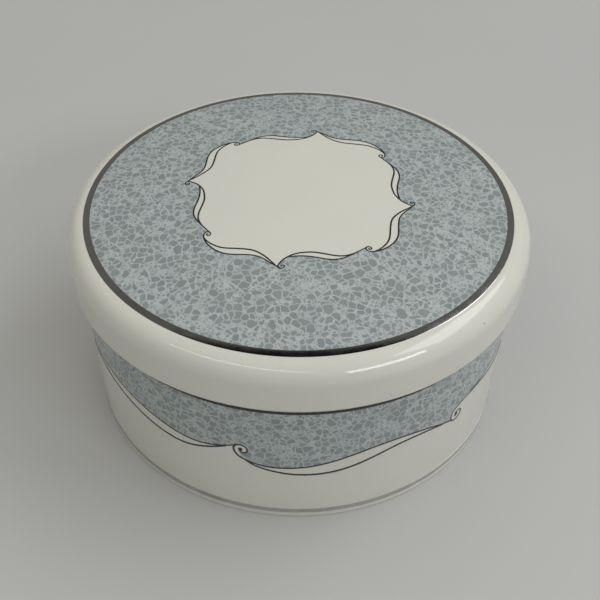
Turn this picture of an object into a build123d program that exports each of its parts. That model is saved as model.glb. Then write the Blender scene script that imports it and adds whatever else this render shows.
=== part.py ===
from build123d import *
from math import cos, degrees, radians, sin, sqrt
import os

# Round porcelain trinket box: a drum-shaped base and a drop-on lid, with fired decoration layers.
# Millimetres, +Z up, origin on the resting plane under the middle of the base.
# The front of the box faces -Y; angles run anticlockwise seen from above, from +X.

# ---- driving dimensions -------------------------------------------------------------------
LID_RADIUS = 50.0            # outside of the lid's skirt
SEAT_Z = 36.35               # the lid's lower edge rests on the base's rim here
BAND_Z = 47.5                # height of the dome where the platinum band lies on it
BAND_RADIUS = 45.1           # radius of the dome at that height
BAND_INNER = 44.45           # edges of the platinum band
BAND_OUTER = 46.0
DOME_RISE = 3.8              # the lid's middle stands this far above the band
SHOULDER_RADIUS = 4.5        # round between the dome and the upright skirt
LID_WALL = 3.0
LID_EDGE_ROUND = 0.8
FLANGE_RADIUS = 44.2         # outside of the ring that drops into the base
FLANGE_WALL = 2.8
FLANGE_DROP = 4.5

BASE_TOP_RADIUS = 47.8       # outside of the base's wall just under the lid
BASE_FOOT_RADIUS = 47.2      # outside of the wall near the foot
RIM_INNER_RADIUS = 44.8
RIM_ROUND = 0.6
CAVITY_TAPER = 0.4           # the inside wall is this much narrower at the bottom
BASE_FLOOR_Z = 4.4           # top of the floor inside
FLOOR_CORNER = 4.0           # round between the inside wall and the floor
FOOT_RING_OUTER = 46.75      # the resting ring under the base
FOOT_RING_INNER = 42.4
FOOT_SLOPE = 1.2             # width of the sloping inner side of the foot ring
FOOT_RECESS = 1.5            # depth of the hollow inside the foot ring

LAYER = 0.08                 # thickness of each fired decoration layer
PRINT_TOP_Z = 33.4           # top edge of the base's printed frieze
BORDER_LINE_WIDTH = 0.8      # dark line that closes the frieze at its top
FOOT_LINE_Z = 2.1            # middle of the platinum line above the foot
FOOT_LINE_WIDTH = 1.25

CARTOUCHE_REPEATS = 4
CARTOUCHE_TURN = -98.0       # angle of the first outer cusp of the cartouche
CARTOUCHE_RADIUS = 22.8      # mean radius, where a millimetre is turned into degrees
CARTOUCHE_LINE = 0.28
FRIEZE_REPEATS = 3
FRIEZE_TURN = -90.0 - 13.8   # angle of the first crest curl, a little left of the front
FRIEZE_RADIUS = 47.5         # mean radius, where a millimetre is turned into degrees
FRIEZE_LINE = 0.4


def lid_dome():
    """Radius of the dome's sphere and the height of its centre."""
    radius = (BAND_RADIUS**2 + DOME_RISE**2) / (2 * DOME_RISE)
    return radius, BAND_Z + DOME_RISE - radius


DOME_RADIUS, DOME_CENTRE_Z = lid_dome()


def dome_point(radius, lift=0.0):
    """Point of the dome at a radius from the axis, lifted along the surface normal."""
    height = sqrt(DOME_RADIUS**2 - radius**2)
    scale = (DOME_RADIUS + lift) / DOME_RADIUS
    return radius * scale, DOME_CENTRE_Z + height * scale


def degrees_of(x, y):
    """Direction of a vector in degrees."""
    return Vector(1, 0, 0).get_signed_angle(Vector(x, y, 0), Vector(0, 0, 1))


def arc(centre, radius, start, end):
    """Circular arc in the profile plane between two angles in degrees."""
    angles = (start, (start + end) / 2, end)
    points = [(centre[0] + radius * cos(radians(a)), centre[1] + radius * sin(radians(a))) for a in angles]
    return ThreePointArc(*points)


def turned(edges):
    """Solid of revolution about Z from the edges of a closed half profile."""
    return revolve(Plane.XZ * make_face(edges), Axis.Z)


# ---- the two porcelain pieces ----------------------------------------------------------------
def make_lid():
    """Domed cap with a rounded shoulder, an upright skirt and a locating flange inside."""
    centre_x = LID_RADIUS - SHOULDER_RADIUS
    reach = DOME_RADIUS - SHOULDER_RADIUS
    centre_z = DOME_CENTRE_Z + sqrt(reach**2 - centre_x**2)
    grow = DOME_RADIUS / reach
    tangent = (centre_x * grow, DOME_CENTRE_Z + (centre_z - DOME_CENTRE_Z) * grow)
    shoulder_start = degrees_of(tangent[0] - centre_x, tangent[1] - centre_z)
    apex = (0.0, DOME_CENTRE_Z + DOME_RADIUS)
    dome_mid = dome_point(tangent[0] / 2)
    under_radius = DOME_RADIUS - LID_WALL
    inner = LID_RADIUS - LID_WALL
    corner = SHOULDER_RADIUS - LID_WALL
    corner_point = (centre_x + corner * cos(radians(shoulder_start)),
                    centre_z + corner * sin(radians(shoulder_start)))
    gutter_z = SEAT_Z + LID_WALL
    flange_inner = FLANGE_RADIUS - FLANGE_WALL
    flange_end = SEAT_Z - FLANGE_DROP
    nose = FLANGE_WALL / 2
    under_mid_r = corner_point[0] / 2
    under_mid = (under_mid_r, DOME_CENTRE_Z + sqrt(under_radius**2 - under_mid_r**2))
    under_apex = (0.0, DOME_CENTRE_Z + under_radius)
    edges = [
        ThreePointArc(apex, dome_mid, tangent),
        arc((centre_x, centre_z), SHOULDER_RADIUS, shoulder_start, 0),
        Line((LID_RADIUS, centre_z), (LID_RADIUS, SEAT_Z + LID_EDGE_ROUND)),
        arc((LID_RADIUS - LID_EDGE_ROUND, SEAT_Z + LID_EDGE_ROUND), LID_EDGE_ROUND, 0, -90),
        Line((LID_RADIUS - LID_EDGE_ROUND, SEAT_Z), (FLANGE_RADIUS, SEAT_Z)),
        Line((FLANGE_RADIUS, SEAT_Z), (FLANGE_RADIUS, flange_end + nose)),
        arc((FLANGE_RADIUS - nose, flange_end + nose), nose, 0, -180),
        Line((flange_inner, flange_end + nose), (flange_inner, gutter_z)),
        Line((flange_inner, gutter_z), (inner - corner, gutter_z)),
        arc((inner - corner, gutter_z + corner), corner, -90, 0),
        Line((inner, gutter_z + corner), (inner, centre_z)),
        arc((centre_x, centre_z), corner, 0, shoulder_start),
        ThreePointArc(corner_point, under_mid, under_apex),
        Line(under_apex, apex),
    ]
    return turned(edges)


def wall_radius(z, lift=0.0):
    """Outside radius of the base's slightly tapered wall at a height."""
    share = (z - FOOT_LINE_Z) / (SEAT_Z - FOOT_LINE_Z)
    return BASE_FOOT_RADIUS + (BASE_TOP_RADIUS - BASE_FOOT_RADIUS) * share + lift


def make_base():
    """Drum-shaped cup with a flat rim for the lid and a foot ring around a shallow recess."""
    foot_round = wall_radius(0) - FOOT_RING_OUTER
    inner_low = RIM_INNER_RADIUS - CAVITY_TAPER
    recess_edge = FOOT_RING_INNER - FOOT_SLOPE
    edges = [
        Line((0, FOOT_RECESS), (recess_edge, FOOT_RECESS)),
        Line((recess_edge, FOOT_RECESS), (FOOT_RING_INNER, 0)),
        Line((FOOT_RING_INNER, 0), (FOOT_RING_OUTER, 0)),
        arc((FOOT_RING_OUTER, foot_round), foot_round, -90, 0),
        Line((wall_radius(0), foot_round), (wall_radius(SEAT_Z - RIM_ROUND), SEAT_Z - RIM_ROUND)),
        arc((wall_radius(SEAT_Z - RIM_ROUND) - RIM_ROUND, SEAT_Z - RIM_ROUND), RIM_ROUND, 0, 90),
        Line((wall_radius(SEAT_Z - RIM_ROUND) - RIM_ROUND, SEAT_Z), (RIM_INNER_RADIUS + RIM_ROUND, SEAT_Z)),
        arc((RIM_INNER_RADIUS + RIM_ROUND, SEAT_Z - RIM_ROUND), RIM_ROUND, 90, 180),
        Line((RIM_INNER_RADIUS, SEAT_Z - RIM_ROUND), (inner_low, BASE_FLOOR_Z + FLOOR_CORNER)),
        arc((inner_low - FLOOR_CORNER, BASE_FLOOR_Z + FLOOR_CORNER), FLOOR_CORNER, 0, -90),
        Line((inner_low - FLOOR_CORNER, BASE_FLOOR_Z), (0, BASE_FLOOR_Z)),
        Line((0, BASE_FLOOR_Z), (0, FOOT_RECESS)),
    ]
    return turned(edges)


# ---- thin shells that carry the decoration ---------------------------------------------------
def dome_shell(inner, outer):
    """Ring-shaped layer lying on the lid's dome between two radii."""
    middle = (inner + outer) / 2
    edges = [
        ThreePointArc(dome_point(inner), dome_point(middle), dome_point(outer)),
        Line(dome_point(outer), dome_point(outer, LAYER)),
        ThreePointArc(dome_point(outer, LAYER), dome_point(middle, LAYER), dome_point(inner, LAYER)),
        Line(dome_point(inner, LAYER), dome_point(inner)),
    ]
    return turned(edges)


def wall_shell(low, high):
    """Ring-shaped layer lying on the base's wall between two heights."""
    corners = [(wall_radius(low), low), (wall_radius(low, LAYER), low),
               (wall_radius(high, LAYER), high), (wall_radius(high), high)]
    return turned(Polyline(*corners, close=True).edges())


# ---- scroll motif ----------------------------------------------------------------------------
# Both ornaments repeat one motif. A crest curl stands at 0; a pair of lines leaves it, opens into a
# leaf and closes at a trough curl; a second pair leaves that curl and closes at the next crest.
# Each list holds (angle in degrees from the crest curl, height in mm across the ornament).
CARTOUCHE = {
    "crest": (0.1, 24.17, 0.6),
    "trough": (45.5, 23.25, 0.6),
    "upper_fall": [(-0.95, 23.4), (0.25, 22.42), (2, 21.65), (5, 21.25), (9.4, 21.1), (14, 21.3),
                   (19, 21.95), (24, 22.8), (29.5, 23.22), (34, 23.08), (39, 22.83), (45.2, 22.68)],
    "lower_fall": [(0.9, 22.0), (3.2, 21.2), (6.5, 20.47), (11.5, 20.1), (15, 20.1), (19, 20.45),
                   (24.4, 21.4), (29.4, 22.38), (33.5, 22.82), (38, 22.85)],
    "upper_rise": [(44.6, 23.9), (46.3, 24.45), (49, 24.9), (53, 25.2), (57, 25.27), (62, 24.9),
                   (67, 23.95), (72, 23.0), (77, 22.62), (81, 22.95), (85, 23.72), (88.3, 24.4),
                   (89.6, 24.73)],
    "lower_rise": [(46.6, 24.5), (49.5, 24.6), (53, 24.5), (58, 23.97), (63, 22.87), (68, 21.9),
                   (73.5, 21.4), (78, 21.72), (82, 22.45), (85.5, 23.45), (88, 24.3)],
}
FRIEZE = {
    "crest": (0.2, 21.15, 1.45),
    "trough": (58.6, 18.0, 1.6),
    "upper_fall": [(-1.2, 20.0), (-0.3, 18.95), (1.6, 18.05), (4.3, 17.2), (9.8, 16.73), (16.8, 17.28),
                   (22.8, 18.46), (28.8, 19.88), (33.5, 20.72), (38.3, 20.98), (43, 20.7), (49, 19.55),
                   (53.8, 18.05), (57.3, 16.95)],
    "lower_fall": [(0.9, 18.35), (3.1, 16.95), (6.5, 15.85), (10.8, 15.03), (17, 14.66), (22.5, 15.03),
                   (29, 16.35), (35.8, 18.22), (40, 19.02), (44, 19.2), (49, 18.8), (54, 17.85)],
    "upper_rise": [(56.9, 19.3), (58.5, 20.4), (61, 21.2), (65, 21.85), (70, 22.55), (75, 22.95),
                   (79, 22.92), (88, 22.15), (93.6, 21.4), (98.6, 20.67), (104, 20.0), (107, 19.84),
                   (110.5, 20.05), (113.6, 20.6), (116.5, 21.4), (119.2, 22.4)],
    "lower_rise": [(62.5, 21.35), (67, 21.55), (72, 21.25), (76.5, 20.95), (82.4, 20.27), (88.6, 19.29),
                   (94.7, 18.27), (100, 17.7), (103.2, 17.56), (106.5, 17.9), (110.5, 18.95),
                   (114, 20.2), (116.5, 21.25)],
}
CURL_STEPS = 12
CURL_START = -120            # direction of a curl's inner end from its middle, in degrees
CURL_TURN = 300              # how far the curl turns
CURL_INNER = 0.4             # radius of the inner end, as a share of the curl's size
CURL_OPENING = 0.4           # share of the turn over which the curl opens to its full size
DOT_SHARE = 0.36             # radius of a curl's solid dot, as a share of the curl's size


def curl(centre, side, mean_radius):
    """Spiral from its inner end out to its left-hand side; side is 1 for a crest, -1 for a trough."""
    angle, height, size = centre
    points = []
    for step in range(CURL_STEPS + 1):
        share = step / CURL_STEPS
        turn = radians(CURL_START + CURL_TURN * share)
        opening = min(1, share / CURL_OPENING)
        radius = size * (CURL_INNER + (1 - CURL_INNER) * opening**2 * (3 - 2 * opening))
        along = degrees(radius * cos(turn) / mean_radius)
        points.append((angle + along, height + side * radius * sin(turn)))
    return points


SAMPLES_A_POINT = 5          # places where a line's two sides are measured off, for each of its points


def ribbon(points, width):
    """Flat face of a given width along a smooth line through the points."""
    path = Spline(*points)
    samples = SAMPLES_A_POINT * len(points)
    left, right = [], []
    for step in range(samples + 1):
        place = path @ (step / samples)
        along = path % (step / samples)
        across = Vector(-along.Y, along.X) * (width / 2)
        left.append(place + across)
        right.append(place - across)
    far_end = Line(left[-1], right[-1])
    near_end = Line(right[0], left[0])
    return make_face([Spline(*left), far_end, Spline(*reversed(right)), near_end])


def stroke(motif, part, flat, mean_radius, width):
    """One pair of lines with the curl it springs from, as a single flat face."""
    crest = part == "fall"
    curl_points = curl(motif["crest" if crest else "trough"], 1 if crest else -1, mean_radius)
    upper = [flat(*p) for p in curl_points + motif["upper_" + part]]
    lower = [flat(*p) for p in motif["lower_" + part]]
    angle, height, size = motif["crest" if crest else "trough"]
    dot = Pos(*flat(angle, height)) * Circle(DOT_SHARE * size)
    return ribbon(upper, width) + ribbon(lower, width) + dot


def edge_points(motif, part, mean_radius):
    """The printed layer's border along one pair of lines, from the curl's side to the next curl."""
    crest = part == "fall"
    curl_points = curl(motif["crest" if crest else "trough"], 1 if crest else -1, mean_radius)
    return curl_points[-1:] + motif["upper_" + part]


# ---- decoration of the lid -------------------------------------------------------------------
CARTOUCHE_INNER, CARTOUCHE_OUTER = 18.0, 27.0   # the cartouche's lines lie between these radii
CLEAR = 2.0                  # cutters reach this far past the layer they cut


def on_lid(angle, radius):
    """Plan position of a motif point on the lid."""
    turn = radians(CARTOUCHE_TURN + angle)
    return radius * cos(turn), radius * sin(turn)


def cartouche_strokes():
    """Extruded line work of the whole cartouche, tall enough to pass through the dome's layer."""
    pairs = [stroke(CARTOUCHE, part, on_lid, CARTOUCHE_RADIUS, CARTOUCHE_LINE) for part in ("fall", "rise")]
    step = 360 / CARTOUCHE_REPEATS
    return [Rot(0, 0, step * k) * extrude(Pos(0, 0, BAND_Z) * pair, DOME_RISE + CLEAR)
            for k in range(CARTOUCHE_REPEATS) for pair in pairs]


def make_lid_lines():
    """Scroll lines around the plain cartouche."""
    shell = dome_shell(CARTOUCHE_INNER, CARTOUCHE_OUTER)
    return [solid for cutter in cartouche_strokes() for solid in (shell & cutter).solids()]


def cartouche_window():
    """Plan outline of the plain middle of the lid, bounded by the upper lines of the scrolls."""
    step = 360 / CARTOUCHE_REPEATS
    edges, ends = [], []
    for k in range(CARTOUCHE_REPEATS):
        for part in ("fall", "rise"):
            points = [on_lid(a + step * k, r) for a, r in edge_points(CARTOUCHE, part, CARTOUCHE_RADIUS)]
            edges.append(Spline(*points))
            ends.append((points[0], points[-1]))
    links = [Line(ends[i][1], ends[(i + 1) % len(ends)][0]) for i in range(len(ends))]
    return make_face(edges + links)


def make_lid_print():
    """Mottled transfer print between the cartouche and the platinum band."""
    ring = dome_shell(CARTOUCHE_INNER, BAND_INNER)
    ring -= extrude(Pos(0, 0, BAND_Z) * cartouche_window(), DOME_RISE + CLEAR)
    for cutter in cartouche_strokes():
        ring -= cutter
    return [max(ring.solids(), key=lambda s: s.volume)]


# ---- decoration of the base ------------------------------------------------------------------
def tangent_plane(angle):
    """Upright plane through the axis whose normal points outwards at an angle on the wall."""
    turn = radians(angle)
    outward = (cos(turn), sin(turn), 0)
    sideways = (-sin(turn), cos(turn), 0)
    return Plane(origin=(0, 0, 0), x_dir=sideways, z_dir=outward)


def flat_on(middle):
    """Map from motif points on the wall to the upright plane facing the middle angle."""
    def flat(angle, z):
        return wall_radius(z) * sin(radians(angle - middle)), z
    return flat


FRIEZE_LOW, FRIEZE_HIGH = 12.0, 25.0    # the frieze's lines lie between these heights
FRIEZE_SPANS = {"fall": 28.0, "rise": 88.0}     # middle of each half of the motif, in degrees
CUTTER_START, CUTTER_LENGTH = 30.0, 30.0        # radial cutters run from the cavity to clear outside


def frieze_cutters(make):
    """Radial prisms of a face made for each span, repeated around the wall."""
    cutters = []
    for part, middle in FRIEZE_SPANS.items():
        face = make(part, flat_on(middle))
        for k in range(FRIEZE_REPEATS):
            plane = tangent_plane(FRIEZE_TURN + middle + 360 / FRIEZE_REPEATS * k)
            cutters.append(plane * extrude(Pos(0, 0, CUTTER_START) * face, CUTTER_LENGTH))
    return cutters


def frieze_strokes():
    """Radial prisms of the frieze's line work."""
    return frieze_cutters(lambda part, flat: stroke(FRIEZE, part, flat, FRIEZE_RADIUS, FRIEZE_LINE))


def white_below(part, flat):
    """Area of the wall under one upper line, down past the foot, and inside a crest curl."""
    spine = [flat(*p) for p in edge_points(FRIEZE, part, FRIEZE_RADIUS)]
    first, last = spine[0], spine[-1]
    reach = 0.5  # past both ends, so that neighbouring areas overlap
    drop = 1.2   # the overlap starts this far under the line's ends
    left, right = first[0] - reach, last[0] + reach
    outline = [last, (last[0], last[1] - drop), (right, last[1] - drop), (right, 0),
               (left, 0), (left, first[1] - drop), (first[0], first[1] - drop), first]
    area = make_face([Spline(*spine), *Polyline(*outline).edges()])
    if part == "fall":
        inside = [flat(*p) for p in curl(FRIEZE["crest"], 1, FRIEZE_RADIUS) + FRIEZE["upper_fall"][:2]]
        area += make_face([Spline(*inside), Line(inside[-1], inside[0])])
    return area


def make_base_lines():
    """Scroll lines that border the frieze."""
    shell = wall_shell(FRIEZE_LOW, FRIEZE_HIGH)
    return [solid for cutter in frieze_strokes() for solid in (shell & cutter).solids()]


def make_base_print():
    """Mottled transfer print from its border line down to the scroll lines."""
    ring = wall_shell(FRIEZE_LOW, PRINT_TOP_Z)
    for cutter in frieze_cutters(white_below) + frieze_strokes():
        ring -= cutter
    return [max(ring.solids(), key=lambda s: s.volume)]


# ---- the assembly ----------------------------------------------------------------------------
def save(name, solids):
    """Write one named piece."""
    shape = solids[0] if len(solids) == 1 else Compound(children=solids)
    shape.label = name
    export_step(shape, "parts/" + name + ".step")


def main():
    os.makedirs("parts", exist_ok=True)
    save("lid", [make_lid().solid()])
    save("base", [make_base().solid()])
    band = dome_shell(BAND_INNER, BAND_OUTER)
    save("lid_platinum_band", [band.solid()])
    foot_line = wall_shell(FOOT_LINE_Z - FOOT_LINE_WIDTH / 2, FOOT_LINE_Z + FOOT_LINE_WIDTH / 2)
    save("base_platinum_line", [foot_line.solid()])
    border_line = wall_shell(PRINT_TOP_Z, PRINT_TOP_Z + BORDER_LINE_WIDTH)
    save("base_border_line", [border_line.solid()])
    save("lid_scroll_lines", make_lid_lines())
    save("lid_print", make_lid_print())
    save("base_scroll_lines", make_base_lines())
    save("base_print", make_base_print())


main()
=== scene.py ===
import math

import bpy
import numpy as np
from mathutils import Matrix, Vector
from mathutils.geometry import delaunay_2d_cdt


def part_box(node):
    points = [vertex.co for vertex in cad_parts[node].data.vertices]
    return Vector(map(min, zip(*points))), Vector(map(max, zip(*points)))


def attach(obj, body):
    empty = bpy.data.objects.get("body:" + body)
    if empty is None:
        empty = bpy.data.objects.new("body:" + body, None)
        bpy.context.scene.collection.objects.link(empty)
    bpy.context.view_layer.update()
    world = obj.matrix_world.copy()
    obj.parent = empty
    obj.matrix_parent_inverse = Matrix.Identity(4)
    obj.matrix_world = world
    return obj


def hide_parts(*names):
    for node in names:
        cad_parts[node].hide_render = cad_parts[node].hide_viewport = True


# Round porcelain trinket box: a drum-shaped base with a printed frieze and a slightly domed drop-on lid.
# The pieces are built in millimetres in the frame's axes and scaled to metres where a mesh is made.

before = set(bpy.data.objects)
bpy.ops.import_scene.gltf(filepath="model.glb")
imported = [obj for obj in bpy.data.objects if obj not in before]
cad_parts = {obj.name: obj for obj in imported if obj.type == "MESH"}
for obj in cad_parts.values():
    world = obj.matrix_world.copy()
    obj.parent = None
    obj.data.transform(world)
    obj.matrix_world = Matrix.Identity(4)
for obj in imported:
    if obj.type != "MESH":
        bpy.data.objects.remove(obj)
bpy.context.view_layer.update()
MM = 0.001

# ---- sizes -------------------------------------------------------------------------------
lid_low, lid_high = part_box("lid")
base_low, base_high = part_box("base")
LID_RADIUS = lid_high.x / MM
APEX_Z = lid_high.z / MM
FLANGE_END_Z = lid_low.z / MM
SEAT_Z = base_high.z / MM
PRINT_TOP_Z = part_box("base_print")[1].z / MM
# Heights of a thin near-black line round the top of the wall, just under the lid's lower edge.
DARK_LINE_LOW, DARK_LINE_HIGH = (corner.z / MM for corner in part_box("base_border_line"))
FOOT_LINE_LOW, FOOT_LINE_HIGH = (corner.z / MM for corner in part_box("base_platinum_line"))

BAND_RADIUS = 45.1           # radius of the dome under the platinum band
BAND_INNER = 44.45           # edges of the platinum band
BAND_OUTER = 46.0
DOME_RISE = 3.8              # the lid's middle stands this far above the band
SHOULDER_RADIUS = 4.5        # round between the dome and the upright skirt
LID_WALL = 3.0
LID_EDGE_ROUND = 0.8
FLANGE_RADIUS = 44.2         # outside of the ring that drops into the base
FLANGE_WALL = 2.8
BASE_TOP_RADIUS = 47.8
BASE_FOOT_RADIUS = 47.2
RIM_INNER_RADIUS = 44.8
RIM_ROUND = 0.6
CAVITY_TAPER = 0.4           # the inside wall leans in this far from rim to floor
BASE_FLOOR_Z = 4.4
FLOOR_CORNER = 4.0
FOOT_RING_OUTER = 46.75
FOOT_RING_INNER = 42.4
FOOT_SLOPE = 1.2             # width of the sloping inner side of the foot ring
FOOT_RECESS = 1.5
FOOT_LINE_Z = (FOOT_LINE_LOW + FOOT_LINE_HIGH) / 2

PRINT_THICKNESS = 0.03       # a fired transfer stands this proud of the glaze
LINE_HEIGHT = 0.05           # crown of a scroll line
METAL_THICKNESS = 0.035
SINK = 0.02                  # every layer's underside lies this deep in the porcelain
PRINT_LAP = 0.3              # the lid's print runs this far under the platinum band

TURN_STEPS = 384             # segments of every turned piece
SHARP_ANGLE = math.radians(40)   # a bend above this stays a crisp edge

# Spacing of the points along the ornament's lines, in mm.
LID_LINE_SPACING = 0.2
BASE_LINE_SPACING = 0.3
LID_BORDER_SPACING = 0.35    # borders of the printed areas
BASE_BORDER_SPACING = 0.4
CURL_BORDER_SPACING = 0.15
LID_FILL_SPACING = 1.8       # points inside the printed areas
BASE_FILL_SPACING = 1.3
BORDER_CLEARANCE = 0.55      # least distance of an inner point from the border, as a share of its spacing
LID_BORDER_STEPS = 300       # round edge of the lid's print
SEAM_STEPS = 14              # up each seam of the frieze's print
TOP_STEPS = 80               # along the top of one repeat of the frieze's print

# ---- the two surfaces that carry the ornament -------------------------------------------------
DOME_RADIUS = (BAND_RADIUS**2 + DOME_RISE**2) / (2 * DOME_RISE)
DOME_CENTRE_Z = APEX_Z - DOME_RADIUS
WALL_MEAN_RADIUS = 47.5      # where a millimetre along the frieze is turned into an angle


def wall_radius(z):
    """Outside radius of the base's slightly tapered wall at a height."""
    share = (z - FOOT_LINE_Z) / (SEAT_Z - FOOT_LINE_Z)
    return BASE_FOOT_RADIUS + (BASE_TOP_RADIUS - BASE_FOOT_RADIUS) * share


def on_dome(flat, lift):
    """Points of the dome above plan points, lifted along the surface normal."""
    height = np.sqrt(DOME_RADIUS**2 - (flat**2).sum(1))
    scale = (DOME_RADIUS + lift) / DOME_RADIUS
    return np.column_stack([flat[:, 0] * scale, flat[:, 1] * scale, DOME_CENTRE_Z + height * scale])


def on_wall(flat, lift):
    """Points of the base's wall from distances along the frieze and heights."""
    angle = flat[:, 0] / WALL_MEAN_RADIUS
    radius = wall_radius(flat[:, 1]) + lift
    return np.column_stack([radius * np.cos(angle), radius * np.sin(angle), flat[:, 1]])


# ---- mesh making -------------------------------------------------------------------------
def make_piece(name, points, faces, material, body, node, normals=None):
    """Blender object from millimetre points, riding on its body in place of a CAD node."""
    mesh = bpy.data.meshes.new(name)
    mesh.from_pydata((np.asarray(points) * MM).tolist(), [], faces)
    mesh.validate()
    mesh.shade_smooth()
    if normals is None:
        mesh.set_sharp_from_angle(angle=SHARP_ANGLE)
    else:
        mesh.normals_split_custom_set(normals)
    mesh.materials.append(material)
    piece = bpy.data.objects.new(name, mesh)
    bpy.context.scene.collection.objects.link(piece)
    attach(piece, body)
    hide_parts(node)


def turn(profile, closed):
    """Points and faces of a half profile of (radius, z) turned about Z.

    A profile that isn't closed starts and ends on the axis.
    """
    angles = np.linspace(0, 2 * math.pi, TURN_STEPS, endpoint=False)
    rings, points = [], []
    for radius, z in profile:
        start = len(points)
        if radius == 0:
            points.append((0, 0, z))
            rings.append([start] * TURN_STEPS)
        else:
            points += [(radius * math.cos(a), radius * math.sin(a), z) for a in angles]
            rings.append(list(range(start, start + TURN_STEPS)))
    faces = []
    pairs = list(zip(rings, rings[1:])) + ([(rings[-1], rings[0])] if closed else [])
    for one, two in pairs:
        for i in range(TURN_STEPS):
            k = (i + 1) % TURN_STEPS
            corners = [one[i], two[i], two[k], one[k]]
            faces.append([c for n, c in enumerate(corners) if c != corners[n - 1]])
    return points, faces


def arc(centre, radius, start, end, steps):
    """Points of a circular arc in the profile plane between two angles in degrees, ends included."""
    angles = np.radians(np.linspace(start, end, steps + 1))
    return [(centre[0] + radius * math.cos(a), centre[1] + radius * math.sin(a)) for a in angles]


def run(start, end, steps):
    """Points of a straight run of a profile without its ends."""
    return [tuple(np.array(start) + (np.array(end) - start) * k / steps) for k in range(1, steps)]


def lid_profile():
    """Dome, shoulder, skirt, flange and the hollow inside, from the top middle to the inner middle."""
    centre_r = LID_RADIUS - SHOULDER_RADIUS
    reach = DOME_RADIUS - SHOULDER_RADIUS
    centre_z = DOME_CENTRE_Z + math.sqrt(reach**2 - centre_r**2)
    tilt = math.degrees(math.atan2(centre_z - DOME_CENTRE_Z, centre_r))
    edge_z = SEAT_Z + LID_EDGE_ROUND
    corner = SHOULDER_RADIUS - LID_WALL
    gutter_z = SEAT_Z + LID_WALL
    inner = LID_RADIUS - LID_WALL
    nose = FLANGE_WALL / 2
    nose_z = FLANGE_END_Z + nose
    flange_inner = FLANGE_RADIUS - FLANGE_WALL
    dome = arc((0, DOME_CENTRE_Z), DOME_RADIUS, 90, tilt, 40)
    under = arc((0, DOME_CENTRE_Z), DOME_RADIUS - LID_WALL, tilt, 90, 30)
    return (
        [(0, APEX_Z)] + dome[1:]
        + arc((centre_r, centre_z), SHOULDER_RADIUS, tilt, 0, 24)[1:]
        + run((LID_RADIUS, centre_z), (LID_RADIUS, edge_z), 5)
        + arc((LID_RADIUS - LID_EDGE_ROUND, edge_z), LID_EDGE_ROUND, 0, -90, 10)
        + [(FLANGE_RADIUS, SEAT_Z)]
        + arc((FLANGE_RADIUS - nose, nose_z), nose, 0, -180, 16)
        + [(flange_inner, gutter_z)]
        + arc((inner - corner, gutter_z + corner), corner, -90, 0, 8)
        + arc((centre_r, centre_z), corner, 0, tilt, 8)
        + under[1:-1] + [(0, DOME_CENTRE_Z + DOME_RADIUS - LID_WALL)]
    )


def base_profile():
    """Foot ring, outside wall, rim, inside wall and floor, from the middle below to the middle inside."""
    foot_round = wall_radius(0) - FOOT_RING_OUTER
    inner_low = RIM_INNER_RADIUS - CAVITY_TAPER
    rim_z = SEAT_Z - RIM_ROUND
    outer = wall_radius(rim_z)
    recess_edge = FOOT_RING_INNER - FOOT_SLOPE
    corner_z = BASE_FLOOR_Z + FLOOR_CORNER
    return (
        [(0, FOOT_RECESS)] + run((0, FOOT_RECESS), (recess_edge, FOOT_RECESS), 12)
        + [(recess_edge, FOOT_RECESS), (FOOT_RING_INNER, 0)]
        + arc((FOOT_RING_OUTER, foot_round), foot_round, -90, 0, 10)
        + run((wall_radius(0), foot_round), (outer, rim_z), 30)
        + arc((outer - RIM_ROUND, rim_z), RIM_ROUND, 0, 90, 10)
        + arc((RIM_INNER_RADIUS + RIM_ROUND, rim_z), RIM_ROUND, 90, 180, 10)
        + run((RIM_INNER_RADIUS, rim_z), (inner_low, corner_z), 20)
        + arc((inner_low - FLOOR_CORNER, corner_z), FLOOR_CORNER, 0, -90, 16)
        + run((inner_low - FLOOR_CORNER, BASE_FLOOR_Z), (0, BASE_FLOOR_Z), 12)
        + [(0, BASE_FLOOR_Z)]
    )


# ---- smooth lines and thin layers on the flat patterns ----------------------------------------
def smooth(points, spacing):
    """Natural cubic spline through the points, sampled about every spacing."""
    p = np.array(points, float)
    steps = np.sqrt((np.diff(p, axis=0)**2).sum(1))
    knots = np.concatenate([[0], np.cumsum(steps)])
    size = len(p)
    system, right = np.eye(size), np.zeros_like(p)
    for i in range(1, size - 1):
        before, after = steps[i - 1], steps[i]
        system[i, i - 1:i + 2] = before, 2 * (before + after), after
        right[i] = 6 * ((p[i + 1] - p[i]) / after - (p[i] - p[i - 1]) / before)
    bend = np.linalg.solve(system, right)
    places = np.linspace(0, knots[-1], max(4, round(knots[-1] / spacing)) + 1)
    span = np.clip(np.searchsorted(knots, places, side="right") - 1, 0, size - 2)
    h = steps[span][:, None]
    a, b = (knots[span + 1] - places)[:, None], (places - knots[span])[:, None]
    cubic = (bend[span] * a**3 + bend[span + 1] * b**3) / (6 * h)
    return cubic + (p[span] / h - bend[span] * h / 6) * a + (p[span + 1] / h - bend[span + 1] * h / 6) * b


def inside(points, loops):
    """Whether each point is inside an odd number of the loops."""
    odd = np.zeros(len(points), bool)
    x, y = points[:, 0][:, None], points[:, 1][:, None]
    for loop in loops:
        x1, y1 = loop[:, 0], loop[:, 1]
        x2, y2 = np.roll(x1, -1), np.roll(y1, -1)
        crosses = (y1 > y) != (y2 > y)
        with np.errstate(divide="ignore", invalid="ignore"):
            left_of = x < (x2 - x1) * (y - y1) / (y2 - y1) + x1
        odd ^= ((crosses & left_of).sum(1) % 2).astype(bool)
    return odd


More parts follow.
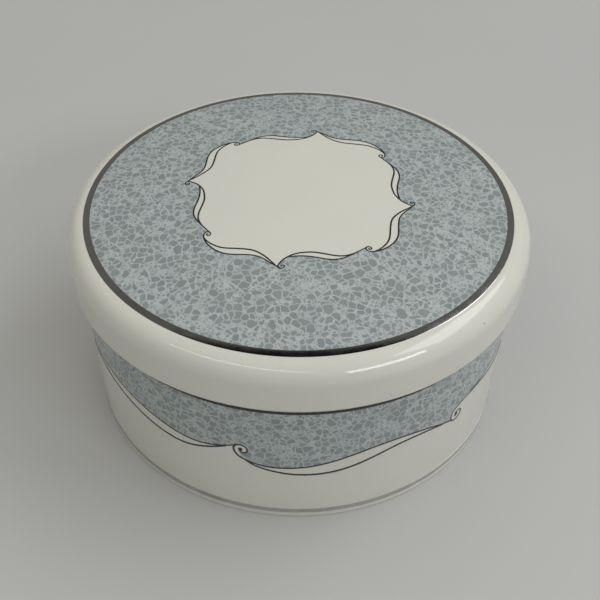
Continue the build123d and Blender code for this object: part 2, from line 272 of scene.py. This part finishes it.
def fill(loops, spacing):
    """Points and triangles that fill the area between flat loops, with an even grid of inner points."""
    loops = [np.asarray(loop, float) for loop in loops]
    border = np.vstack(loops)
    low, high = border.min(0), border.max(0)
    rows = np.arange(low[1] + spacing / 2, high[1], spacing * math.sqrt(3) / 2)
    grid = np.array([(x + spacing / 2 * (n % 2), y) for n, y in enumerate(rows)
                     for x in np.arange(low[0], high[0], spacing)])
    grid = grid[inside(grid, loops)]
    near = np.array([((border - g)**2).sum(1).min() for g in grid])
    grid = grid[near > (BORDER_CLEARANCE * spacing)**2]
    edges, start = [], 0
    for loop in loops:
        edges += [(start + i, start + (i + 1) % len(loop)) for i in range(len(loop))]
        start += len(loop)
    made = delaunay_2d_cdt([Vector(p) for p in np.vstack([border, grid])], edges, [], 1, 1e-7)
    points, triangles = np.array(made[0]), np.array(made[2])
    triangles = triangles[inside(points[triangles].mean(1), loops)]
    one, two, three = (points[triangles[:, k]] for k in range(3))
    area = np.cross(two - one, three - one)
    triangles[area < 0] = triangles[area < 0][:, ::-1]
    return points, triangles


def skin(points, triangles, place, thickness):
    """Closed thin layer over a filled area: its points, faces and one normal a face corner."""
    count = len(points)
    flat_edges = {(t[i], t[(i + 1) % 3]) for t in triangles.tolist() for i in range(3)}
    rim = sorted((a, b) for a, b in flat_edges if (b, a) not in flat_edges)
    solid = np.vstack([place(points, thickness), place(points, -SINK)])
    outward = place(points, 1.0) - place(points, 0.0)
    top = [list(t) for t in triangles.tolist()]
    faces = top + [[i + count for i in reversed(t)] for t in top]
    faces += [[a, a + count, b + count, b] for a, b in rim]
    side = np.array([np.cross(solid[b + count] - solid[a], solid[b] - solid[a + count]) for a, b in rim])
    side /= np.linalg.norm(side, axis=1)[:, None]
    normals = [outward[i] for t in top for i in t] + [-outward[i] for t in top for i in reversed(t)]
    normals += [s for s in side for _ in range(4)]
    return solid, faces, np.array(normals)


def ribbon(line, width, place):
    """Closed low ridge along a flat line, thinner at its ends, with upright sides and a crowned top."""
    line = np.asarray(line)
    along = np.gradient(line, axis=0)
    along /= np.linalg.norm(along, axis=1)[:, None]
    across = np.column_stack([-along[:, 1], along[:, 0]])
    share = np.linspace(0, 1, len(line))
    taper = 0.7 + 0.3 * np.sin(math.pi * share)**0.5
    half = [(-0.5, -SINK), (-0.5, 0.7 * LINE_HEIGHT), (-0.25, LINE_HEIGHT)]
    section = half + [(-offset, lift) for offset, lift in reversed(half)]
    rings = [place(line + across * (offset * width * taper)[:, None], lift) for offset, lift in section]
    points = np.stack(rings, 1).reshape(-1, 3)
    size = len(section)
    faces = []
    for i in range(len(line) - 1):
        for k in range(size):
            n = (k + 1) % size
            faces.append([i * size + k, (i + 1) * size + k, (i + 1) * size + n, i * size + n])
    last = (len(line) - 1) * size
    faces += [list(range(size)), [last + k for k in reversed(range(size))]]
    return points, faces


def dot(centre, radius, place):
    """Closed low round bead on the flat pattern."""
    turns = np.linspace(0, 2 * math.pi, 20, endpoint=False)
    circle = np.column_stack([np.cos(turns), np.sin(turns)])
    rings = [(0.4, LINE_HEIGHT), (0.8, 0.8 * LINE_HEIGHT), (1.0, -SINK)]
    centre = np.asarray(centre, float)
    points = [place(centre + circle * radius * share, lift) for share, lift in rings]
    count = len(circle)
    faces = [list(range(count))]
    for ring in range(len(rings) - 1):
        for i in range(count):
            k = (i + 1) % count
            here, below = ring * count, (ring + 1) * count
            faces.append([here + i, below + i, below + k, here + k])
    faces.append([(len(rings) - 1) * count + i for i in reversed(range(count))])
    return np.vstack(points), faces


def joined(parts):
    """One list of points and faces from several."""
    points, faces, start = [], [], 0
    for part_points, part_faces in parts:
        points.append(part_points)
        faces += [[i + start for i in face] for face in part_faces]
        start += len(part_points)
    return np.vstack(points), faces


# ---- scroll motif --------------------------------------------------------------------------
# Both ornaments repeat one motif. A crest curl stands at 0; a pair of lines leaves it, opens into a
# leaf and closes at a trough curl; a second pair leaves that curl and closes at the next crest.
# Each list holds (angle in degrees from the crest curl, height in mm across the ornament).
CARTOUCHE = {
    "crest": (0.1, 24.17, 0.6),
    "trough": (45.5, 23.25, 0.6),
    "upper_fall": [(-0.95, 23.4), (0.25, 22.42), (2, 21.65), (5, 21.25), (9.4, 21.1), (14, 21.3),
                   (19, 21.95), (24, 22.8), (29.5, 23.22), (34, 23.08), (39, 22.83), (45.2, 22.68)],
    "lower_fall": [(0.9, 22.0), (3.2, 21.2), (6.5, 20.47), (11.5, 20.1), (15, 20.1), (19, 20.45),
                   (24.4, 21.4), (29.4, 22.38), (33.5, 22.82), (38, 22.85)],
    "upper_rise": [(44.6, 23.9), (46.3, 24.45), (49, 24.9), (53, 25.2), (57, 25.27), (62, 24.9),
                   (67, 23.95), (72, 23.0), (77, 22.62), (81, 22.95), (85, 23.72), (88.3, 24.4),
                   (89.6, 24.73)],
    "lower_rise": [(46.6, 24.5), (49.5, 24.6), (53, 24.5), (58, 23.97), (63, 22.87), (68, 21.9),
                   (73.5, 21.4), (78, 21.72), (82, 22.45), (85.5, 23.45), (88, 24.3)],
}
CARTOUCHE_REPEATS = 4
CARTOUCHE_TURN = -98.0       # angle of the first outer cusp
CARTOUCHE_RADIUS = 22.8      # mean radius, where a millimetre is turned into degrees
CARTOUCHE_UPPER, CARTOUCHE_LOWER = 0.34, 0.36
FRIEZE = {
    "crest": (0.2, 21.15, 1.45),
    "trough": (58.6, 18.0, 1.6),
    "upper_fall": [(-1.2, 20.0), (-0.3, 18.95), (1.6, 18.05), (4.3, 17.2), (9.8, 16.73), (16.8, 17.28),
                   (22.8, 18.46), (28.8, 19.88), (33.5, 20.72), (38.3, 20.98), (43, 20.7), (49, 19.55),
                   (53.8, 18.05), (57.3, 16.95)],
    "lower_fall": [(0.9, 18.35), (3.1, 16.95), (6.5, 15.85), (10.8, 15.03), (17, 14.66), (22.5, 15.03),
                   (29, 16.35), (35.8, 18.22), (40, 19.02), (44, 19.2), (49, 18.8), (54, 17.85)],
    "upper_rise": [(56.9, 19.3), (58.5, 20.4), (61, 21.2), (65, 21.85), (70, 22.55), (75, 22.95),
                   (79, 22.92), (88, 22.15), (93.6, 21.4), (98.6, 20.67), (104, 20.0), (107, 19.84),
                   (110.5, 20.05), (113.6, 20.6), (116.5, 21.4), (119.2, 22.4)],
    "lower_rise": [(62.5, 21.35), (67, 21.55), (72, 21.25), (76.5, 20.95), (82.4, 20.27), (88.6, 19.29),
                   (94.7, 18.27), (100, 17.7), (103.2, 17.56), (106.5, 17.9), (110.5, 18.95),
                   (114, 20.2), (116.5, 21.25)],
}
FRIEZE_REPEATS = 3
FRIEZE_TURN = -103.8         # angle of the first crest curl, a little left of the front
FRIEZE_UPPER, FRIEZE_LOWER = 0.46, 0.50
DOT_SHARE = 0.36             # radius of a curl's solid dot, as a share of the curl's size
CURL_STEPS = 20
CURL_START, CURL_TURN = -120, 300   # direction of a curl's inner end and how far it turns, in degrees
CURL_INNER = 0.4             # radius of the inner end, as a share of the curl's size
CURL_OPENING = 0.4           # share of the turn over which the curl opens to its full size


def curl(centre, side, mean_radius):
    """Spiral from its inner end out to its left-hand side; side is 1 for a crest, -1 for a trough."""
    angle, height, size = centre
    points = []
    for step in range(CURL_STEPS + 1):
        share = step / CURL_STEPS
        turn_angle = math.radians(CURL_START + CURL_TURN * share)
        opening = min(1, share / CURL_OPENING)
        radius = size * (CURL_INNER + (1 - CURL_INNER) * opening**2 * (3 - 2 * opening))
        along = math.degrees(radius * math.cos(turn_angle) / mean_radius)
        points.append((angle + along, height + side * radius * math.sin(turn_angle)))
    return points


def plan_of(motif_points, step):
    """Plan points on the lid from motif points of one repeat."""
    p = np.array(motif_points, float)
    turned_by = np.radians(CARTOUCHE_TURN + 360 / CARTOUCHE_REPEATS * step + p[:, 0])
    return np.column_stack([p[:, 1] * np.cos(turned_by), p[:, 1] * np.sin(turned_by)])


def strip_of(motif_points, step):
    """Flat points along the frieze from motif points of one repeat."""
    p = np.array(motif_points, float)
    along = np.radians(FRIEZE_TURN + 360 / FRIEZE_REPEATS * step + p[:, 0]) * WALL_MEAN_RADIUS
    return np.column_stack([along, p[:, 1]])


def motif_lines(motif, flat, mean_radius, widths, spacing, place):
    """Ridges of one repeat of a motif, with the widths of its upper and lower lines."""
    parts = []
    for part, centre, side in (("fall", motif["crest"], 1), ("rise", motif["trough"], -1)):
        spiral = curl(centre, side, mean_radius)
        upper = smooth(flat(spiral + motif["upper_" + part]), spacing)
        lower = smooth(flat(motif["lower_" + part]), spacing)
        parts += [ribbon(line, width, place) for line, width in zip((upper, lower), widths)]
        parts.append(dot(flat([centre[:2]])[0], DOT_SHARE * centre[2], place))
    return parts


# ---- materials ---------------------------------------------------------------------------
class Nodes:
    """A material's node tree with short calls."""

    def __init__(self, name):
        self.material = bpy.data.materials.new(name)
        self.material.use_nodes = True
        self.tree = self.material.node_tree
        self.shader = self.tree.nodes["Principled BSDF"]

    def put(self, node, socket, value):
        """A fixed value or a link into an input."""
        if isinstance(value, bpy.types.NodeSocket):
            self.tree.links.new(value, node.inputs[socket])
        else:
            node.inputs[socket].default_value = value

    def add(self, kind, inputs=(), **settings):
        """A node with its settings and inputs."""
        node = self.tree.nodes.new(kind)
        for key, value in settings.items():
            setattr(node, key, value)
        for socket, value in dict(inputs).items():
            self.put(node, socket, value)
        return node

    def place(self):
        """The piece's own coordinates in metres."""
        return self.add("ShaderNodeTexCoord").outputs["Object"]

    def noise(self, vector, cell, detail=2.0, roughness=0.5):
        """Noise between 0 and 1 with features about one cell wide, in metres."""
        inputs = {"Vector": vector, "Scale": 1 / cell, "Detail": detail, "Roughness": roughness}
        return self.add("ShaderNodeTexNoise", inputs).outputs[0]

    def scattered(self, vector, cell, amount):
        """Coordinates pushed about by noise."""
        inputs = {"Vector": vector, "Scale": 1 / cell, "Detail": 1.0}
        push = self.add("ShaderNodeTexNoise", inputs).outputs["Color"]
        kind = "ShaderNodeVectorMath"
        centred = self.add(kind, {0: push, 1: (0.5, 0.5, 0.5)}, operation="SUBTRACT").outputs[0]
        scaled = self.add(kind, {0: centred, "Scale": amount}, operation="SCALE").outputs[0]
        return self.add(kind, {0: vector, 1: scaled}).outputs[0]

    def cells(self, vector, cell, feature):
        """A Voronoi node with cells of a size in metres."""
        inputs = {"Vector": vector, "Scale": 1 / cell, "Randomness": 1.0}
        return self.add("ShaderNodeTexVoronoi", inputs, feature=feature)

    def math(self, operation, one, two):
        """The result of a math node."""
        return self.add("ShaderNodeMath", {0: one, 1: two}, operation=operation).outputs[0]

    def ramp(self, value, low, high, to_low=0.0, to_high=1.0):
        """A value mapped smoothly from one range to another, and held at its ends."""
        inputs = {"Value": value, "From Min": low, "From Max": high, "To Min": to_low, "To Max": to_high}
        return self.add("ShaderNodeMapRange", inputs, interpolation_type="SMOOTHSTEP").outputs[0]

    def mix(self, factor, one, two):
        """A colour between two colours."""
        node = self.add("ShaderNodeMix", data_type="RGBA")
        for socket, value in ((0, factor), (6, one), (7, two)):
            self.put(node, socket, value)
        return node.outputs[2]

    def bump(self, height, distance, before=None):
        """A normal from a height, on top of another bump if one is given."""
        inputs = {"Height": height, "Distance": distance, "Strength": 1.0}
        if before is not None:
            inputs["Normal"] = before
        return self.add("ShaderNodeBump", inputs).outputs[0]

    def finish(self, **inputs):
        """Sets the shader's inputs, named with _ for a space."""
        for socket, value in inputs.items():
            self.put(self.shader, socket.replace("_", " "), value)
        return self.material


def glaze_bump(nodes, place):
    """Slow waves of a fired glaze with a trace of orange peel."""
    waves = nodes.bump(nodes.noise(place, 0.022, 1.0), 0.00025)
    return nodes.bump(nodes.noise(place, 0.0011, 2.0), 0.000004, before=waves)


RARE_SPECK = 0.975           # share of the cells that hold no speck
BIG_PEBBLE, SMALL_PEBBLE = 0.00155, 0.0008   # cell sizes of the print's two layers, in metres
BIG_GAP, SMALL_GAP = (0.07, 0.19), (0.10, 0.27)   # where a vein ends and its pebble is full, in cells
OPEN_SHARE = 0.30            # share of the big cells left to the small pebbles


def make_porcelain():
    """Cream bone china under a clear glaze, faintly clouded and with rare dark specks."""
    nodes = Nodes("white_porcelain")
    place = nodes.place()
    cloud = nodes.ramp(nodes.noise(place, 0.03, 3.0), 0.3, 0.7)
    body = nodes.mix(cloud, (0.80, 0.79, 0.70, 1), (0.77, 0.765, 0.685, 1))
    speck = nodes.cells(place, 0.0045, "F1")
    lot = nodes.add("ShaderNodeSeparateColor", {0: speck.outputs["Color"]}).outputs[0]
    rare = nodes.math("GREATER_THAN", lot, RARE_SPECK)
    small = nodes.ramp(speck.outputs["Distance"], 0.02, 0.045, 1.0, 0.0)
    body = nodes.mix(nodes.math("MULTIPLY", rare, small), body, (0.12, 0.10, 0.07, 1))
    roughness = nodes.ramp(nodes.noise(place, 0.012, 2.0), 0.3, 0.7, 0.05, 0.09)
    return nodes.finish(
        Base_Color=body, Roughness=roughness, Normal=glaze_bump(nodes, place), IOR=1.52,
        Subsurface_Weight=0.12, Subsurface_Radius=(0.0018, 0.0015, 0.0010), Subsurface_Scale=1.0,
    )


def make_print():
    """Mottled transfer print: grey pebbles of two scales with pale veins between them."""
    nodes = Nodes("mottled_print")
    place = nodes.place()
    loose = nodes.scattered(nodes.scattered(place, 0.0026, 0.0012), 0.0009, 0.0004)
    layers = {}
    for name, cell, (low, high) in (("big", BIG_PEBBLE, BIG_GAP), ("small", SMALL_PEBBLE, SMALL_GAP)):
        near, following = (nodes.cells(loose, cell, feature) for feature in ("F1", "F2"))
        gap = nodes.math("SUBTRACT", following.outputs["Distance"], near.outputs["Distance"])
        lots = nodes.add("ShaderNodeSeparateColor", {0: near.outputs["Color"]}).outputs
        layers[name] = (gap, nodes.ramp(gap, low, high), lots)
    gap, big, lots = layers["big"]
    is_big = nodes.math("GREATER_THAN", lots[0], OPEN_SHARE)
    round_end = nodes.math("MULTIPLY", nodes.ramp(gap, 0.0, 0.06), is_big)
    small = nodes.math("MULTIPLY", layers["small"][1], nodes.math("SUBTRACT", 1.0, round_end))
    faint = nodes.ramp(layers["small"][2][1], 0.0, 1.0, 0.55, 1.0)
    big = nodes.math("MULTIPLY", big, is_big)
    small = nodes.math("MULTIPLY", small, faint)
    pebble = nodes.math("MAXIMUM", big, small)
    drift = nodes.noise(place, 0.012, 2.0)
    wash = nodes.noise(place, 0.0045, 3.0)
    veins = nodes.mix(drift, (0.50, 0.555, 0.555, 1), (0.54, 0.585, 0.57, 1))
    tint = nodes.ramp(drift, 0.35, 0.65)
    stone = nodes.mix(tint, (0.275, 0.305, 0.315, 1), (0.265, 0.315, 0.295, 1))
    stone = nodes.mix(nodes.math("MULTIPLY", lots[1], 0.45), stone, (0.355, 0.40, 0.395, 1))
    colour = nodes.mix(pebble, veins, stone)
    colour = nodes.mix(nodes.ramp(wash, 0.45, 0.75, 0.0, 0.28), colour, (0.31, 0.345, 0.34, 1))
    roughness = nodes.ramp(nodes.noise(place, 0.01, 2.0), 0.3, 0.7, 0.13, 0.20)
    relief = nodes.bump(pebble, 0.000004, before=glaze_bump(nodes, place))
    return nodes.finish(Base_Color=colour, Roughness=roughness, Normal=relief, IOR=1.52)


def make_scroll():
    """Near-black fired enamel line with a slightly uneven edge and gloss."""
    nodes = Nodes("scroll_line")
    place = nodes.place()
    cloud = nodes.noise(place, 0.0018, 3.0)
    colour = nodes.mix(cloud, (0.012, 0.014, 0.013, 1), (0.035, 0.038, 0.033, 1))
    roughness = nodes.ramp(nodes.noise(place, 0.0012, 2.0), 0.3, 0.7, 0.22, 0.38)
    return nodes.finish(Base_Color=colour, Roughness=roughness, IOR=1.5,
                        Normal=nodes.bump(nodes.noise(place, 0.0006, 2.0), 0.00001))


def make_platinum():
    """Burnished platinum with a fine grain and duller worn patches."""
    nodes = Nodes("platinum")
    place = nodes.place()
    worn = nodes.ramp(nodes.noise(place, 0.006, 4.0, 0.6), 0.45, 0.75)
    colour = nodes.mix(worn, (0.60, 0.585, 0.55, 1), (0.47, 0.455, 0.42, 1))
    grain = nodes.noise(place, 0.0005, 2.0)
    roughness = nodes.ramp(nodes.noise(place, 0.003, 3.0), 0.3, 0.7, 0.10, 0.20)
    return nodes.finish(Base_Color=colour, Metallic=1.0, Roughness=roughness,
                        Normal=nodes.bump(grain, 0.000006))


PORCELAIN, PRINT, SCROLL, PLATINUM = make_porcelain(), make_print(), make_scroll(), make_platinum()


# ---- the lid -----------------------------------------------------------------------------
def ring_section(width, top):
    """Section of a fired band: flat on top with rounded edges that go into the glaze."""
    half = [(-0.5, -SINK), (-0.49, 0.4 * top), (-0.46, 0.8 * top), (-0.40, top)]
    return [(x * width, lift) for x, lift in half + [(-x, lift) for x, lift in reversed(half)]]


def make_lid():
    """The lid's body, print, scroll lines and platinum band."""
    points, faces = turn(lid_profile(), closed=False)
    make_piece("lid_body", points, faces, PORCELAIN, "lid", "lid")

    window = []
    for step in range(CARTOUCHE_REPEATS):
        for part, centre, side in (("fall", CARTOUCHE["crest"], 1), ("rise", CARTOUCHE["trough"], -1)):
            start = curl(centre, side, CARTOUCHE_RADIUS)[-1:]
            edge = plan_of(start + CARTOUCHE["upper_" + part], step)
            window.append(smooth(edge, LID_BORDER_SPACING))
    border_turns = np.linspace(0, 2 * math.pi, LID_BORDER_STEPS, endpoint=False)
    border = (BAND_INNER + PRINT_LAP) * np.column_stack([np.cos(border_turns), np.sin(border_turns)])
    points, triangles = fill([border, np.vstack(window)], LID_FILL_SPACING)
    points, faces, normals = skin(points, triangles, on_dome, PRINT_THICKNESS)
    make_piece("lid_transfer", points, faces, PRINT, "lid", "lid_print", normals)

    parts = []
    for step in range(CARTOUCHE_REPEATS):
        def flat(p, step=step):
            return plan_of(p, step)
        widths = (CARTOUCHE_UPPER, CARTOUCHE_LOWER)
        parts += motif_lines(CARTOUCHE, flat, CARTOUCHE_RADIUS, widths, LID_LINE_SPACING, on_dome)
    points, faces = joined(parts)
    make_piece("lid_scrolls", points, faces, SCROLL, "lid", "lid_scroll_lines")

    section = []
    middle = (BAND_INNER + BAND_OUTER) / 2
    for across, lift in ring_section(BAND_OUTER - BAND_INNER, METAL_THICKNESS):
        x, _, z = on_dome(np.array([[middle + across, 0.0]]), lift)[0]
        section.append((x, z))
    points, faces = turn(section, closed=True)
    make_piece("lid_band", points, faces, PLATINUM, "lid", "lid_platinum_band")


# ---- the base ----------------------------------------------------------------------------
SEAM = 22.8                  # motif angle where one repeat of the frieze's print meets the next
WEDGE_END = 0.3              # motif angle where the plain gap beside a crest curl closes
MEETING = 5                  # points of a crest curl that lie outside the line that meets its top
SEAM_GAP = 0.1               # border points this near a seam give way to the seam's own point, in mm
ON_SEAM = 1e-4               # a point this near a seam's line lies on it, in mm
SAME_HEIGHT = 5              # decimals of a height that pair the points of two seams


def print_border():
    """Lower border of one repeat of the frieze's print, from one seam to the next."""
    spiral = curl(FRIEZE["crest"], 1, WALL_MEAN_RADIUS)
    fall = FRIEZE["upper_fall"]
    before = smooth(strip_of(fall, 0), BASE_BORDER_SPACING)
    seam_along = strip_of([(SEAM, 0)], 0)[0, 0]
    repeat = 2 * math.pi * WALL_MEAN_RADIUS / FRIEZE_REPEATS
    start = np.array([(SEAM, z) for a, z in fall if a == SEAM])
    first = np.vstack([strip_of(start, 0), before[before[:, 0] > seam_along + SEAM_GAP]])
    side = curl(FRIEZE["trough"], -1, WALL_MEAN_RADIUS)[-1:]
    rise = smooth(strip_of(side + FRIEZE["upper_rise"], 0), BASE_BORDER_SPACING)
    around = strip_of(list(reversed(spiral[:-MEETING])), 0)
    around = smooth(around, CURL_BORDER_SPACING) + (repeat, 0)
    leave = before[before[:, 0] > strip_of([(WEDGE_END, 0)], 0)[0, 0]]
    leave = leave[leave[:, 0] < seam_along - SEAM_GAP] + (repeat, 0)
    return np.vstack([first, rise, around, leave, strip_of(start, 1)])


def make_frieze_print():
    """Points and triangles of the whole print from one repeat, joined at the seams."""
    lower = print_border()
    left, right = lower[0, 0], lower[-1, 0]
    heights = np.linspace(lower[0, 1], PRINT_TOP_Z, SEAM_STEPS + 1)
    right_side = np.array([(right, z) for z in heights[1:]])
    top = np.array([(x, PRINT_TOP_Z) for x in np.linspace(right, left, TOP_STEPS + 1)[1:-1]])
    left_side = np.array([(left, z) for z in heights[:0:-1]])
    points, triangles = fill([np.vstack([lower, right_side, top, left_side])], BASE_FILL_SPACING)
    count = len(points)
    on_left, on_right = {}, {}
    for i, (x, z) in enumerate(points):
        if abs(x - left) < ON_SEAM:
            on_left[round(z, SAME_HEIGHT)] = i
    for i, (x, z) in enumerate(points):
        if abs(x - right) < ON_SEAM:
            on_right[i] = on_left[round(z, SAME_HEIGHT)]
    all_points, all_triangles = [], []
    for step in range(FRIEZE_REPEATS):
        all_points.append(points + (step * (right - left), 0))
        index = np.arange(count) + step * count
        for i, partner in on_right.items():
            index[i] = partner + (step + 1) % FRIEZE_REPEATS * count
        all_triangles.append(index[triangles])
    return np.vstack(all_points), np.vstack(all_triangles)


def without_spares(points, faces, normals):
    """The same mesh without the points that no face uses."""
    used = sorted({i for face in faces for i in face})
    new = {old: i for i, old in enumerate(used)}
    return points[used], [[new[i] for i in face] for face in faces], normals


def wall_band(low, high, top):
    """Turned band round the base's wall between two heights."""
    middle = (low + high) / 2
    section = []
    for across, lift in ring_section(high - low, top):
        x, _, z = on_wall(np.array([[0.0, middle + across]]), lift)[0]
        section.append((x, z))
    return turn(section, closed=True)


def make_base():
    """The base's body, print, scroll lines, a thin near-black line just under the lid's edge and platinum
    line.
    """
    points, faces = turn(base_profile(), closed=False)
    make_piece("base_body", points, faces, PORCELAIN, "base", "base")

    points, triangles = make_frieze_print()
    points, faces, normals = without_spares(*skin(points, triangles, on_wall, PRINT_THICKNESS))
    make_piece("base_transfer", points, faces, PRINT, "base", "base_print", normals)

    parts = []
    for step in range(FRIEZE_REPEATS):
        def flat(p, step=step):
            return strip_of(p, step)
        widths = (FRIEZE_UPPER, FRIEZE_LOWER)
        parts += motif_lines(FRIEZE, flat, WALL_MEAN_RADIUS, widths, BASE_LINE_SPACING, on_wall)
    points, faces = joined(parts)
    make_piece("base_scrolls", points, faces, SCROLL, "base", "base_scroll_lines")

    points, faces = wall_band(FOOT_LINE_LOW, FOOT_LINE_HIGH, METAL_THICKNESS)
    make_piece("base_foot_line", points, faces, PLATINUM, "base", "base_platinum_line")
    # Thin near-black band round the top of the wall, just under the lid's lower edge, in the scroll
    # lines' colour.
    points, faces = wall_band(DARK_LINE_LOW, DARK_LINE_HIGH, LINE_HEIGHT)
    make_piece("base_dark_line", points, faces, SCROLL, "base", "base_border_line")


make_lid()
make_base()


# ---- floor, light and camera --------------------------------------------------------------
FLOOR_HALF = 3.0             # half of the floor's side; from here on lengths are in metres
LIGHT_TARGET = Vector((0, 0, 0.03))
COOL, WARM = (0.95, 0.96, 1.0), (1.0, 0.985, 0.93)
# Grey of the room by the height of the view direction, from level 0 to straight up 1: a dim cap overhead.
ROOM_GREYS = [(0.0, 0.17), (0.30, 0.155), (0.60, 0.15), (0.86, 0.13), (0.885, 0.008)]
ROOM_BLUE = 0.98             # blue of the room's light, as a share of its red and green
CAMERA_PLACE = (0.00045, -0.1735, 0.1783)
CAMERA_DOWN = math.radians(42.50)
CAMERA_ROLL = math.radians(0.51)
CAMERA_LENS, CAMERA_SENSOR = 60.2, 36    # mm


def make_floor():
    """Plain pale floor under the box."""
    corners = [(x * FLOOR_HALF, y * FLOOR_HALF, 0) for x, y in ((-1, -1), (1, -1), (1, 1), (-1, 1))]
    mesh = bpy.data.meshes.new("floor")
    mesh.from_pydata(corners, [], [(0, 1, 2, 3)])
    nodes = Nodes("floor")
    place = nodes.place()
    colour = nodes.mix(nodes.noise(place, 0.09, 4.0), (0.56, 0.56, 0.55, 1), (0.60, 0.60, 0.585, 1))
    mesh.materials.append(nodes.finish(Base_Color=colour, Roughness=0.5, IOR=1.4))
    floor = bpy.data.objects.new("floor", mesh)
    bpy.context.scene.collection.objects.link(floor)


def make_light(name, place, size, power, colour, in_gloss=True):
    """Rectangular soft light aimed at the box, seen or not seen in its gloss."""
    light = bpy.data.lights.new(name, "AREA")
    light.color = colour
    light.shape = "RECTANGLE"
    light.size, light.size_y = size
    light.energy = power
    lamp = bpy.data.objects.new(name, light)
    lamp.location = place
    lamp.rotation_mode = "QUATERNION"
    lamp.rotation_quaternion = (LIGHT_TARGET - Vector(place)).to_track_quat("-Z", "Y")
    lamp.visible_glossy = in_gloss
    bpy.context.scene.collection.objects.link(lamp)


def make_world():
    """Soft room light that is dim overhead, which the platinum mirrors."""
    world = bpy.data.worlds.new("room")
    world.use_nodes = True
    tree = world.node_tree
    background = tree.nodes["Background"]
    direction = tree.nodes.new("ShaderNodeTexCoord")
    split = tree.nodes.new("ShaderNodeSeparateXYZ")
    ramp = tree.nodes.new("ShaderNodeValToRGB")
    tree.links.new(direction.outputs["Generated"], split.inputs[0])
    tree.links.new(split.outputs["Z"], ramp.inputs[0])
    tree.links.new(ramp.outputs[0], background.inputs["Color"])
    while len(ramp.color_ramp.elements) < len(ROOM_GREYS):
        ramp.color_ramp.elements.new(0.5)
    for element, (position, grey) in zip(ramp.color_ramp.elements, ROOM_GREYS):
        element.position = position
        element.color = (grey, grey, grey * ROOM_BLUE, 1)
    background.inputs["Strength"].default_value = 1.0
    bpy.context.scene.world = world


def make_camera():
    """Camera that looks down on the front of the box."""
    right = Vector((1, 0, 0))
    forward = Vector((0, math.cos(CAMERA_DOWN), -math.sin(CAMERA_DOWN)))
    up = Vector((0, math.sin(CAMERA_DOWN), math.cos(CAMERA_DOWN)))
    across = right * math.cos(CAMERA_ROLL) + up * math.sin(CAMERA_ROLL)
    upright = up * math.cos(CAMERA_ROLL) - right * math.sin(CAMERA_ROLL)
    data = bpy.data.cameras.new("camera")
    data.lens, data.sensor_width = CAMERA_LENS, CAMERA_SENSOR
    camera = bpy.data.objects.new("camera", data)
    facing = Matrix((across, upright, -forward)).transposed().to_4x4()
    camera.matrix_world = Matrix.Translation(CAMERA_PLACE) @ facing
    bpy.context.scene.collection.objects.link(camera)
    bpy.context.scene.camera = camera


make_floor()
make_world()
make_light("key", (1.02, 0.15, 1.28), (1.4, 0.66), 8.4, COOL)
make_light("overhead", (-0.2, 0.4, 2.2), (3.2, 2.2), 20, WARM, in_gloss=False)
make_light("ceiling_tube", (-0.8, -1.3, 2.0), (2.3, 0.035), 5.6, WARM)
make_light("front_panel", (2.1, -2.4, 2.0), (2.2, 0.6), 30, COOL)
make_camera()
bpy.context.scene.view_settings.view_transform = "Standard"
